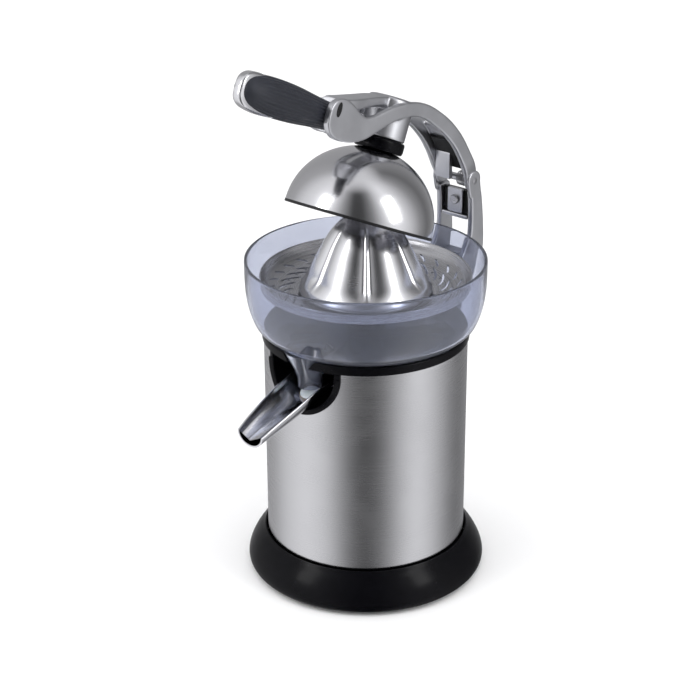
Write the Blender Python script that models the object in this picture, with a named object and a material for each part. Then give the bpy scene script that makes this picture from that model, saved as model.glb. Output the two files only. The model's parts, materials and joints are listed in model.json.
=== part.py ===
"""Lever-arm citrus press juicer.

Frame: metres, +Z up, origin on the machine's axis in the underside of the base cover.
The spout points to -Y, the column stands at +Y, and X runs across the machine.
All lengths below are written in millimetres and scaled by MM when a mesh is made.
The lever is drawn level, with its handle horizontal, and hangs from an empty on the
hinge pin that tips it back by LEVER_LIFT, the raised position it is left in.
"""
import math

import bmesh
import bpy
from mathutils import Matrix, Vector

MM = 0.001

# main sizes
GAP = 0.3                      # clearance between neighbouring pieces
AROUND = 36                    # sides of the large turned pieces
AROUND_SMALL = 20              # sides of pins, screws and bushes

BASE_RADIUS = 97.9             # widest circle of the plinth
BASE_HEIGHT = 31.0
COVER_RADIUS = 90.5
BOSS_RADIUS, COVER_STEP = 30.0, 0.6   # flat boss in the middle of the cover, and its height
FOOT_DROP = 2.0                # how far the rubber feet stand below the cover
FOOT_RING = 76.0               # circle on which the feet sit
SCREW_RING = 66.0              # circle of the cover screws

BODY_RADIUS = 81.3
BODY_TOP = 201.7
SHEET = 0.7                    # steel sheet of the body
RING_RADIUS = 82.6             # black ring under the bowl
RING_LOW, RING_HIGH = 202.0, 209.0

BOWL_RADIUS = 95.3
BOWL_TOP = 267.0
BOWL_FLOOR = 209.4
STRAINER_RADIUS = 84.0
CONE_BASE, CONE_TIP = 240.0, 305.0
CONE_LOBES = 6
SLOTS, SLOT_RING, SLOT_TWIST = 24, 66.5, 0.35    # juice slots of the strainer
SLOT_SIZE = (11, 2.6, 12, 1)

OUTLET_Y = -68.0               # axis of the bowl's outlet
OUTLET_LOW = 180.0
RECESS_Z, RECESS_RADIUS = 197.5, 35.4
POCKET_RADIUS = 31.4
SPOUT_HINGE = (-56.0, 178.0)
SPOUT_SLOPE = math.radians(19.0)

HINGE = (117.0, 302.0)         # lever hinge, in Y and Z
LEVER_LIFT = math.radians(25.0)
ARM_OUTER, ARM_INNER = 18.5, 13.5   # outer and inner faces of the arm's side plates
EYE_RADIUS = 8.5
PIN_RADIUS = 3.0
HUB_Y = 3.5                    # dome axis when the lever is level
DOME_RADIUS, DOME_RIM, DOME_RISE = 58.5, 248.0, 56.0
HANDLE_Z = 314.5
SOCKET_END = -70.0
GRIP_END, HANDLE_END = -160.0, -173.0

# gear train: module and tooth counts
MODULE = 1.5
PINION_TEETH, WHEEL_TEETH, OUTPUT_TEETH = 12, 40, 44
SHAFT_RADIUS = 4.0
MOTOR_PLATE_Z, GEARBOX_LID_Z = 118.0, 152.0

PAINTS = {}


def paint(name, colour, metallic, roughness):
    """One Principled material per finish."""
    if name not in PAINTS:
        mat = bpy.data.materials.new(name)
        mat.use_nodes = True
        shader = mat.node_tree.nodes["Principled BSDF"]
        shader.inputs["Base Color"].default_value = (*colour, 1.0)
        shader.inputs["Metallic"].default_value = metallic
        shader.inputs["Roughness"].default_value = roughness
        PAINTS[name] = mat
    return PAINTS[name]


def steel():
    return paint("brushed_steel", (0.62, 0.62, 0.64), 1.0, 0.3)


def polished():
    return paint("polished_steel", (0.72, 0.72, 0.74), 1.0, 0.18)


def cast():
    return paint("satin_aluminium", (0.55, 0.55, 0.58), 1.0, 0.4)


def gloss_black():
    return paint("gloss_black", (0.012, 0.012, 0.014), 0.0, 0.12)


def matt_black():
    return paint("matt_black", (0.02, 0.02, 0.022), 0.0, 0.5)


def rubber():
    return paint("rubber", (0.03, 0.032, 0.04), 0.0, 0.7)


def smoky():
    return paint("smoky_clear", (0.55, 0.58, 0.7), 0.0, 0.05)


def white_plastic():
    return paint("white_plastic", (0.75, 0.75, 0.73), 0.0, 0.4)


def silicone():
    return paint("silicone", (0.8, 0.82, 0.85), 0.0, 0.5)


def copper():
    return paint("copper", (0.6, 0.27, 0.12), 1.0, 0.35)


def brass():
    return paint("brass", (0.62, 0.45, 0.2), 1.0, 0.3)


def clear_scene():
    for old in list(bpy.data.objects):
        bpy.data.objects.remove(old, do_unlink=True)


def add_object(name, bm, material, parent=None, origin=(0, 0, 0)):
    """Puts a bmesh drawn in millimetres into the scene, with its origin at the given point."""
    bmesh.ops.translate(bm, verts=bm.verts, vec=-Vector(origin))
    bmesh.ops.scale(bm, verts=bm.verts, vec=(MM, MM, MM))
    bmesh.ops.remove_doubles(bm, verts=bm.verts, dist=1e-6)
    bmesh.ops.recalc_face_normals(bm, faces=bm.faces)
    mesh = bpy.data.meshes.new(name)
    bm.to_mesh(mesh)
    bm.free()
    mesh.shade_smooth()
    mesh.set_sharp_from_angle(angle=math.radians(30))
    obj = bpy.data.objects.new(name, mesh)
    bpy.context.scene.collection.objects.link(obj)
    if material:
        mesh.materials.append(material)
    if parent:
        obj.parent = parent
    else:
        obj.location = Vector(origin) * MM
    return obj


def add_empty(name, point, tip_x=0.0):
    """An empty on a joint's axis, tipped about X."""
    empty = bpy.data.objects.new(name, None)
    empty.location = Vector(point) * MM
    empty.rotation_euler = (tip_x, 0.0, 0.0)
    bpy.context.scene.collection.objects.link(empty)
    return empty


def lathe_mesh(profile, sides, closed, radius_at=None):
    """Turns (r, z) points about Z. A closed profile is a ring section, an open one ends on the axis.
    radius_at(angle, r, z) may change the radius round the turn."""
    bm = bmesh.new()
    rings = []
    flat_start = not closed and profile[0][0] <= 0 and profile[0][1] == profile[1][1]
    flat_end = not closed and profile[-1][0] <= 0 and profile[-1][1] == profile[-2][1]
    first = 1 if flat_start else 0
    last = len(profile) - 1 if flat_end else len(profile)
    for r, z in profile[first:last]:
        if r <= 0:
            rings.append([bm.verts.new((0, 0, z))])
            continue
        ring = []
        for i in range(sides):
            angle = 2 * math.pi * i / sides
            turned = radius_at(angle, r, z) if radius_at else r
            ring.append(bm.verts.new((turned * math.cos(angle), turned * math.sin(angle), z)))
        rings.append(ring)
    pairs = list(zip(rings, rings[1:]))
    if closed:
        pairs.append((rings[-1], rings[0]))
    for a, b in pairs:
        for i in range(sides):
            j = (i + 1) % sides
            if len(a) == 1:
                bm.faces.new((a[0], b[i], b[j]))
            elif len(b) == 1:
                bm.faces.new((a[i], a[j], b[0]))
            else:
                bm.faces.new((a[i], a[j], b[j], b[i]))
    if flat_start:
        bm.faces.new(rings[0])
    if flat_end:
        bm.faces.new(rings[-1])
    return bm


def turned(name, profile, material, closed=False, sides=AROUND, at=(0, 0), axis="Z", **more):
    """A turned piece about a vertical axis at (x, y), or about X or Y through a point."""
    radius_at = more.pop("radius_at", None)
    bm = lathe_mesh(profile, sides, closed, radius_at)
    if axis == "X":
        bmesh.ops.rotate(bm, verts=bm.verts, matrix=Matrix.Rotation(math.pi / 2, 3, "Y"))
        bmesh.ops.translate(bm, verts=bm.verts, vec=(0, at[0], at[1]))
    elif axis == "Y":
        bmesh.ops.rotate(bm, verts=bm.verts, matrix=Matrix.Rotation(-math.pi / 2, 3, "X"))
        bmesh.ops.translate(bm, verts=bm.verts, vec=(at[0], 0, at[1]))
    else:
        bmesh.ops.translate(bm, verts=bm.verts, vec=(at[0], at[1], 0))
    return add_object(name, bm, material, **more)


def rod_profile(radius, low, high):
    return [(0, low), (radius, low), (radius, high), (0, high)]


def tube_profile(inner, outer, low, high):
    return [(outer, low), (outer, high), (inner, high), (inner, low)]


def prism(name, outline, low, high, material, axis="Z", **more):
    """An outline pushed from low to high along an axis.
    The outline is in (X, Y) for Z, (Y, Z) for X and (X, Z) for Y."""
    place = {
        "Z": lambda u, v, w: (u, v, w),
        "X": lambda u, v, w: (w, u, v),
        "Y": lambda u, v, w: (u, w, v),
    }[axis]
    bm = bmesh.new()
    bottom = [bm.verts.new(place(u, v, low)) for u, v in outline]
    top = [bm.verts.new(place(u, v, high)) for u, v in outline]
    bm.faces.new(bottom)
    bm.faces.new(top)
    for i in range(len(outline)):
        j = (i + 1) % len(outline)
        bm.faces.new((bottom[i], bottom[j], top[j], top[i]))
    return add_object(name, bm, material, **more)


def rectangle(u0, u1, v0, v1, corner=0.0, steps=3):
    """A rectangle with round corners."""
    if corner <= 0:
        return [(u0, v0), (u1, v0), (u1, v1), (u0, v1)]
    centres = ((u1 - corner, v1 - corner), (u0 + corner, v1 - corner),
               (u0 + corner, v0 + corner), (u1 - corner, v0 + corner))
    points = []
    for k, (cu, cv) in enumerate(centres):
        for i in range(steps + 1):
            angle = math.pi / 2 * (k + i / steps)
            points.append((cu + corner * math.cos(angle), cv + corner * math.sin(angle)))
    return points


def smooth_line(points, steps):
    """Catmull-Rom curve through the points."""
    ends = [points[0]] + list(points) + [points[-1]]
    line = []
    for k in range(1, len(ends) - 2):
        p0, p1, p2, p3 = (Vector(p) for p in ends[k - 1:k + 3])
        for i in range(steps):
            t = i / steps
            line.append(0.5 * ((2 * p1) + (p2 - p0) * t + (2 * p0 - 5 * p1 + 4 * p2 - p3) * t ** 2
                               + (3 * p1 - p0 - 3 * p2 + p3) * t ** 3))
    line.append(Vector(points[-1]))
    return line


def band(centre, widths, steps):
    """Outline of a strap that follows a curve: points are (u, v), widths its half width at each."""
    line = smooth_line([(u, v, w) for (u, v), w in zip(centre, widths)], steps)
    left, right = [], []
    for i, p in enumerate(line):
        before, after = line[max(i - 1, 0)], line[min(i + 1, len(line) - 1)]
        along = Vector((after.x - before.x, after.y - before.y)).normalized()
        left.append((p.x - along.y * p.z, p.y + along.x * p.z))
        right.append((p.x + along.y * p.z, p.y - along.x * p.z))
    return left + right[::-1]


def combine(target, other, operation):
    """Boolean with a hidden helper object."""
    step = target.modifiers.new(other.name, "BOOLEAN")
    step.operation = operation
    step.solver = "EXACT"
    step.object = other
    other.hide_render = True
    other.display_type = "WIRE"
    return target


def cut(target, *others):
    for other in others:
        combine(target, other, "DIFFERENCE")
    return target


def add_to(target, *others):
    for other in others:
        combine(target, other, "UNION")
    return target


def loft(name, sections, material, **more):
    """Skins a row of equal-length closed sections and caps both ends."""
    bm = bmesh.new()
    rings = [[bm.verts.new(p) for p in section] for section in sections]
    count = len(rings[0])
    for a, b in zip(rings, rings[1:]):
        for i in range(count):
            j = (i + 1) % count
            bm.faces.new((a[i], a[j], b[j], b[i]))
    bm.faces.new(rings[0])
    bm.faces.new(rings[-1])
    return add_object(name, bm, material, **more)


def coil(name, radius, wire, turns, low, high, material, axis="Z", at=(0, 0), **more):
    """A closed round wire wound in a helix."""
    per_turn, sides = 10, 4
    count = int(turns * per_turn)
    sections = []
    for i in range(count + 1):
        angle = 2 * math.pi * i / per_turn
        rise = low + (high - low) * i / count
        out = Vector((math.cos(angle), math.sin(angle), 0))
        centre = out * radius + Vector((0, 0, rise))
        ring = []
        for k in range(sides):
            turn = 2 * math.pi * k / sides
            p = centre + out * (wire * math.cos(turn)) + Vector((0, 0, wire * math.sin(turn)))
            if axis == "X":
                p = Vector((p.z, p.x + at[0], p.y + at[1]))
            ring.append(p)
        sections.append(ring)
    return loft(name, sections, material, **more)


def gear_outline(teeth, phase, module=MODULE, addendum=0.6, dedendum=1.0):
    """Trapezium teeth; a tooth is centred on the phase angle."""
    pitch = module * teeth / 2
    step = 2 * math.pi / teeth
    corners = ((-0.27, -dedendum), (-0.14, addendum), (0.14, addendum), (0.27, -dedendum))
    points = []
    for i in range(teeth):
        for offset, height in corners:
            angle = phase + (i + offset) * step
            reach = pitch + module * height
            points.append((reach * math.cos(angle), reach * math.sin(angle)))
    return points


def shifted(outline, dx, dy):
    return [(u + dx, v + dy) for u, v in outline]


# ---------------------------------------------------------------- base and body

def polar(radius, angle):
    return radius * math.cos(angle), radius * math.sin(angle)


def make_base():
    plate = [(0, 0), (BOSS_RADIUS, 0), (BOSS_RADIUS + 0.8, COVER_STEP), (COVER_RADIUS, COVER_STEP),
             (COVER_RADIUS, 2.5), (0, 2.5)]
    cover = turned("base_cover", plate, matt_black())
    seat = COVER_STEP - GAP
    for i in range(4):
        spot = polar(FOOT_RING, math.radians(45 + 90 * i))
        hole = turned(f"guide_foot_hole_{i}", rod_profile(4.2, -1, 4), None, sides=20, at=spot)
        cut(cover, hole)
        foot = [(0, -FOOT_DROP), (8.2, -FOOT_DROP), (9, -1.2), (9, seat), (3.9, seat), (3.9, 5), (0, 5)]
        turned(f"foot_{i + 1}", foot, rubber(), sides=AROUND_SMALL, at=spot)
    for i in range(3):
        spot = polar(SCREW_RING, math.radians(90 + 120 * i))
        hole = turned(f"guide_screw_hole_{i}", rod_profile(2.2, -1, 4), None, sides=16, at=spot)
        cut(cover, hole)
        screw = [(0, 9), (1.8, 9), (1.8, seat), (3.6, seat), (3.3, -1), (0, -1.2)]
        turned(f"base_screw_{i + 1}", screw, steel(), sides=16, at=spot)

    outer = [(83.6, BASE_HEIGHT), (85.6, 28.6), (89.2, 24.2), (93.2, 18.4), (96.6, 11.8),
             (BASE_RADIUS, 6.4), (97.2, 2.4), (94.8, 0.2)]
    inner = [(91.2, 0.2), (91.2, 3.4), (94.4, 6.6), (93.6, 11), (90.4, 17), (86.6, 22.2),
             (82.4, 27), (82.4, BASE_HEIGHT)]
    ring = turned("base_ring", outer + inner, gloss_black(), closed=True)
    hole = turned("guide_gland_hole", rod_profile(6.3, 80, 110), None, axis="Y", at=(0, 13.5),
                  sides=AROUND_SMALL)
    cut(ring, hole)
    gland = [(6, 84), (6, 98.4), (8.4, 98.4), (8.4, 100), (5.6, 102), (5, 107), (3.6, 107),
             (3.6, 84)]
    turned("cord_gland", gland, matt_black(), closed=True, axis="Y", at=(0, 13.5),
           sides=AROUND_SMALL)


def recess_block(name, radius, top, low_y, high_y):
    """Half disc below the black ring, pushed along Y: the outline of the spout recess."""
    points = []
    for i in range(25):
        angle = math.pi + math.pi * i / 24
        points.append((radius * math.cos(angle), RECESS_Z + radius * math.sin(angle)))
    points += [(radius, top), (-radius, top)]
    return prism(name, points, low_y, high_y, None, axis="Y")


def make_body():
    shell = turned("body_shell", tube_profile(BODY_RADIUS - SHEET, BODY_RADIUS, 29.5, BODY_TOP),
                   steel(), closed=True)
    notch = recess_block("guide_shell_notch", RECESS_RADIUS + GAP, 215, -120, -40)
    cut(shell, notch)
    turned("inner_frame", tube_profile(76.6, 79.0, 6.0, 157), matt_black(), closed=True)

    deck = [(RING_RADIUS, RING_LOW), (RING_RADIUS, RING_HIGH - 1), (81.8, RING_HIGH),
            (80, RING_HIGH), (79.2, 208), (11, 208), (11, 229), (8.2, 229), (8.2, 205),
            (77.4, 205), (77.4, 190), (80.2, 190), (80.2, RING_LOW)]
    top = turned("top_deck", deck, gloss_black(), closed=True)
    front = recess_block("guide_deck_notch", RECESS_RADIUS + GAP, 201.8, -120, -45)
    funnel = [(0, 180), (12, 180), (12, 190), (22.6, 214), (0, 214)]
    well = turned("guide_outlet_well", funnel, None, sides=36, at=(0, OUTLET_Y))
    cut(top, front, well)


def make_recess():
    """Black cup let into the front of the body, open to the front and the top."""
    block = [(82.2, 155), (82.2, 201.4), (45.5, 201.4), (45.5, 155)]
    cup = turned("spout_bezel", block, gloss_black(), closed=True)
    outline = []
    for i in range(25):
        angle = math.pi + math.pi * i / 24
        outline.append((RECESS_RADIUS * math.cos(angle), RECESS_Z + RECESS_RADIUS * math.sin(angle)))
    outline += [(RECESS_RADIUS, 210), (-RECESS_RADIUS, 210)]
    keep = prism("guide_recess_outline", outline, -120, -36, None, axis="Y")
    combine(cup, keep, "INTERSECT")
    pocket = recess_block("guide_pocket", POCKET_RADIUS, 215, -120, -49)
    cut(cup, pocket)
    for side in (-1, 1):
        low, high = sorted((side * 19.8, side * 22.8))
        turned(f"spout_pin_{'right' if side > 0 else 'left'}", rod_profile(1.8, low, high),
               steel(), axis="X", at=SPOUT_HINGE, sides=16)


# ---------------------------------------------------------------- motor and gears

MID_AT = (-MODULE * (PINION_TEETH + OUTPUT_TEETH) / 2, 0.0)
MOTOR_REACH = MODULE * (PINION_TEETH + WHEEL_TEETH) / 2
MOTOR_ANGLE = math.radians(67.4)
MOTOR_AT = (MID_AT[0] + MOTOR_REACH * math.cos(MOTOR_ANGLE), MOTOR_REACH * math.sin(MOTOR_ANGLE))


def make_motor():
    turned("motor_stator", tube_profile(15.2, 28, 58, 104), steel(), closed=True, sides=40,
           at=MOTOR_AT)
    turned("motor_winding", tube_profile(16.2, 25, 104.3, 111), copper(), closed=True, sides=32,
           at=MOTOR_AT)
    plate = turned("motor_plate", rod_profile(76.2, MOTOR_PLATE_Z, MOTOR_PLATE_Z + 3), steel())
    shaft_hole = turned("guide_motor_hole", rod_profile(6, 110, 126), None, sides=24, at=MOTOR_AT)
    axis_hole = turned("guide_axis_hole", rod_profile(6.4, 110, 126), None, sides=24)
    cut(plate, shaft_hole, axis_hole)
    axle = [(0, 121.3), (6, 121.3), (6, 123.3), (3, 123.3), (3, 149.5), (0, 149.5)]
    turned("mid_axle", axle, steel(), sides=20, at=MID_AT)
    lid = turned("gearbox_lid", rod_profile(76.2, GEARBOX_LID_Z, GEARBOX_LID_Z + 3), steel())
    lid_hole = turned("guide_lid_hole", rod_profile(9.3, 148, 160), None, sides=24)
    cut(lid, lid_hole)
    bush = [(9, 150.5), (9, 155.3), (11.5, 155.3), (11.5, 158.5), (4.3, 158.5), (4.3, 150.5)]
    turned("shaft_bush", bush, brass(), closed=True, sides=24)
    switch = prism("micro_switch", rectangle(-9, 9, -5, 5, 1.5), 98, 112, matt_black())
    bore = turned("guide_switch_bore", rod_profile(2.4, 104, 120), None, sides=16)
    cut(switch, bore)

    rotor_axis = add_empty("rotor_axis", (*MOTOR_AT, 0))
    core = turned("motor_rotor", [(0, 40), (3, 40), (3, 60), (14, 60), (14, 102), (3, 102),
                                  (3, 125.4), (0, 125.4)], steel(), sides=32,
                  parent=rotor_axis)
    fan = prism("motor_fan", gear_outline(9, 0.0, 4.4, 0.8, 2.2), 45, 54, white_plastic(),
                parent=rotor_axis)
    fan_bore = turned("guide_fan_bore", rod_profile(3.3, 40, 58), None, sides=16,
                      parent=rotor_axis)
    cut(fan, fan_bore)
    phase = MOTOR_ANGLE + math.pi + math.pi / PINION_TEETH
    pinion = prism("motor_pinion", gear_outline(PINION_TEETH, phase), 125.8, 134.2, brass(),
                   parent=rotor_axis)
    for piece in (core, fan, pinion):
        piece.location = (0, 0, 0)


def make_gears():
    mid_axis = add_empty("mid_axis", (*MID_AT, 0))
    wheel = prism("mid_gear", gear_outline(WHEEL_TEETH, MOTOR_ANGLE), 126, 134, white_plastic(),
                  parent=mid_axis)
    small = prism("guide_mid_pinion", gear_outline(PINION_TEETH, math.pi / PINION_TEETH), 133, 148,
                  None, parent=mid_axis)
    bore = turned("guide_mid_bore", rod_profile(3.3, 120, 152), None, sides=20, parent=mid_axis)
    add_to(wheel, small)
    cut(wheel, bore)

    output = prism("output_gear", gear_outline(OUTPUT_TEETH, math.pi), 138, 146.5, white_plastic())
    hub = turned("guide_output_hub", rod_profile(8, 125, 149), None, sides=24)
    bore = turned("guide_output_bore", rod_profile(SHAFT_RADIUS + GAP, 120, 152), None, sides=24)
    add_to(output, hub)
    cut(output, bore)

    shaft = [(0, 124), (SHAFT_RADIUS, 124), (SHAFT_RADIUS, 176), (6.4, 176.2), (6.4, 179),
             (SHAFT_RADIUS, 179.2), (SHAFT_RADIUS, 238), (0, 238)]
    turned("drive_shaft", shaft, steel(), sides=24)
    coil("return_spring", 5.4, 0.6, 4, 159.6, 175.2, steel())
    plunger = [(0, 108), (2, 108), (2, 114.6), (4, 115.6), (4, 123.6), (0, 123.6)]
    turned("switch_plunger", plunger, white_plastic(), sides=20)


# ---------------------------------------------------------------- bowl, strainer and cone

def make_bowl():
    outer = [(BOWL_RADIUS - 0.6, BOWL_TOP), (BOWL_RADIUS, BOWL_TOP - 1), (BOWL_RADIUS, 254),
             (94.6, 240), (92.4, 227.5), (88.6, 217), (84.6, 211.8), (81.2, BOWL_FLOOR),
             (12.2, BOWL_FLOOR), (12.2, 234)]
    inner = [(14.4, 234), (15.2, 212.6), (62, 211.8), (79.2, 212), (83, 214.2), (86.4, 218.6),
             (89.8, 228.2), (91.8, 240.4), (92.6, 254), (92.8, BOWL_TOP)]
    bowl = turned("juice_bowl", outer + inner, smoky(), closed=True)
    nose = turned("guide_outlet_out", [(0, OUTLET_LOW), (9.6, OUTLET_LOW), (9.8, 189), (20, 212),
                                       (0, 212)], None, sides=32, at=(0, OUTLET_Y))
    way = turned("guide_outlet_in", [(0, 170), (7.6, 170), (7.8, 189.5), (17.4, 213), (17.4, 214),
                                     (0, 214)], None, sides=32, at=(0, OUTLET_Y))
    add_to(bowl, nose)
    cut(bowl, way)


def make_strainer():
    top = [(STRAINER_RADIUS - 0.8, 246), (STRAINER_RADIUS, 252.4), (83, 253.4), (81.6, 252.4),
           (78, 245.4), (70, 241.2), (58, 238.6), (46, 236.8), (17, 236.4)]
    under = [(17, 235.2), (46, 235.6), (58, 237.4), (70, 240), (79, 244.2), (82.4, 246)]
    dish = turned("strainer", top + under, steel(), closed=True)
    bm = bmesh.new()
    for i in range(SLOTS):
        angle = 2 * math.pi * i / SLOTS
        spot = Matrix.Translation((*polar(SLOT_RING, angle), 240))
        turn = Matrix.Rotation(angle + SLOT_TWIST, 4, "Z")
        bmesh.ops.create_cube(bm, size=1.0, matrix=spot @ turn @ Matrix.Diagonal(SLOT_SIZE))
    slots = add_object("guide_slots", bm, None)
    cut(dish, slots)


def lobed(angle, r, z):
    """Reamer section: wide lobes between narrow ridges that fade towards the tip."""
    rise = (z - CONE_BASE) / (CONE_TIP - CONE_BASE)
    depth = 0.075 * max(0.0, min(1.0, 4 * rise)) * max(0.0, min(1.0, 6 * (1 - rise)))
    wave = abs(math.sin(CONE_LOBES * angle / 2)) ** 0.6
    return r * (1 - depth * (1 - wave))


def make_cone():
    outer = [(0, CONE_TIP), (8, 303.2), (16, 298.8), (23, 293.4), (28, 287.6), (32.6, 281),
             (38, 271), (43, 261), (48.4, 250), (51.8, 244), (52.6, CONE_BASE + 1), (51.6, CONE_BASE)]
    inner = [(49.4, CONE_BASE), (40, 261), (29.6, 280), (18, 290), (0, 294)]
    turned("juicing_cone", outer + inner, polished(), sides=48, radius_at=lobed)
    boss = [(0, 238.6), (4.2, 238.6), (9.5, 238.6), (9.5, 262), (6, 283), (0, 283)]
    turned("cone_insert", boss, matt_black(), sides=24)


# ---------------------------------------------------------------- spout

def make_spout():
    """U-shaped trough that hangs on two stub pins behind the bowl's outlet."""
    axis = add_empty("spout_axis", (0, *SPOUT_HINGE))

    def half_pipe(along, half, top, deep):
        level = top + math.tan(SPOUT_SLOPE) * along
        ring = []
        for i in range(13):
            angle = math.pi + math.pi * i / 12
            ring.append(Vector((half * math.cos(angle), along, level + deep * math.sin(angle))))
        return ring

    def skin(along, half, top, deep):
        inside = half_pipe(along, half - 1.6, top, deep - 1.8)
        return half_pipe(along, half, top, deep) + inside[::-1]

    # distance from the hinge, half width, height of the edge and depth of each section
    stations = ((3.0, 19.4, 7.6, 10.4), (-6.0, 19.4, 11.0, 15.0), (-24.0, 17.6, 14.5, 17.0),
                (-45.0, 16.6, 15.4, 15.6), (-66.0, 14.6, 15.6, 13.0), (-81.0, 12.6, 14.8, 10.4))
    sections = [skin(*s) for s in stations]
    loft("juice_spout", sections, polished(), parent=axis)
    seal = turned("drip_seal", [(0, -0.9), (3, -0.9), (8, 0.9), (8, 1.5), (0, 1.8)],
                  silicone(), at=(0, -12.4), sides=AROUND_SMALL, parent=axis)
    seal.rotation_euler = (SPOUT_SLOPE, 0, 0)

# ---------------------------------------------------------------- column and lever

def make_column():
    front = [(110.5, 302), (113.8, 287), (114.6, 270), (114.6, 256), (110.6, 247), (104.6, 238),
             (97.2, 226), (89.6, 216.5), (84, 210.6), (83.6, 200), (83.6, 134)]
    back = [(103.4, 128), (104.4, 150), (105.4, 176), (108.6, 190), (115, 200), (124, 213),
            (130, 228), (132, 243), (130.8, 264), (128.4, 284), (124.4, 302)]
    for side in (-1, 1):
        low, high = sorted((side * ARM_INNER, side * ARM_OUTER))
        name = "right" if side > 0 else "left"
        plate = prism(f"column_plate_{name}", front + back, low, high, cast(), axis="X")
        eye = turned(f"guide_eye_{name}", rod_profile(EYE_RADIUS, *sorted((side * 15, side * 18.4))),
                     None, axis="X", at=HINGE, sides=36)
        lap = sorted((side * (ARM_INNER - 1), side * 16.15))
        half = turned(f"guide_lap_{name}", rod_profile(EYE_RADIUS + 0.4, *lap), None, axis="X",
                      at=HINGE, sides=36)
        bore = turned(f"guide_pin_bore_{name}", rod_profile(PIN_RADIUS + GAP, low - 2, high + 2),
                      None, axis="X", at=HINGE, sides=24)
        add_to(plate, eye)
        cut(plate, half, bore)

    inside = ARM_INNER - GAP
    web = [(114.8, 267.6), (127.6, 267.6), (126, 290), (123.4, 290), (124.6, 270.8), (114.8, 270.8)]
    prism("column_web", web, -inside, inside, cast(), axis="X")
    sill = [(118, 232), (128.6, 232), (128.6, 235.4), (118, 235.4)]
    prism("column_brace", sill, -inside, inside, cast(), axis="X")
    prism("spring_box", rectangle(118.4, 122.8, 271.2, 291, 0.8), -inside, inside, matt_black(),
          axis="X")
    prism("spring_strip", rectangle(-7.6, 7.2, 271.4, 292.4, 1.0), 115.4, 118.0, cast(), axis="Y")
    turned("strip_screw", [(0, 112.6), (3.4, 112.8), (4, 113.8), (4, 115.1), (0, 115.1)], steel(),
           axis="Y", at=(0, 283), sides=20)

    arc = []
    for i in range(7):
        x = -inside + 2 * inside * i / 6
        arc.append((x, math.sqrt(82.4 ** 2 - x * x)))
    saddle = prism("column_saddle", arc + [(inside, 101), (-inside, 101)], 132, 200.5, cast())
    for i, z in enumerate((146, 186)):
        hole = turned(f"guide_saddle_hole_{i}", rod_profile(2.5, 70, 110), None, axis="Y",
                      at=(0, z), sides=16)
        cut(saddle, hole)
        screw = [(0, 84), (2.1, 84), (2.1, 101.3), (4.2, 101.3), (3.8, 104), (0, 104.4)]
        turned(f"column_screw_{i + 1}", screw, steel(), axis="Y", at=(0, z), sides=20)

    pin = [(0, -19), (PIN_RADIUS, -18.6), (PIN_RADIUS, 18.6), (0, 19)]
    turned("hinge_pin", pin, steel(), axis="X", at=HINGE, sides=24)
    coil("torsion_spring", 5.4, 0.8, 4.5, 3.0, 12.0, steel(), axis="X", at=HINGE)


ARM_LINE = ((117, 302), (107, 310.6), (95, 319.2), (80, 328), (63, 334.6), (47, 338.4), (30, 341),
            (15, 340.2), (2, 336.6), (-10, 331.6), (-21, 325.4), (-31, 319), (-42, 313.4),
            (-53, 311.6))
ARM_WIDTH = (6.8, 6.4, 6.2, 6.2, 6.3, 6.3, 5.8, 5.6, 5.6, 5.8, 6.2, 6.6, 7.4, 8.6)


def lever_points(points):
    return [(u - HINGE[0], v - HINGE[1]) for u, v in points]


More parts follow.
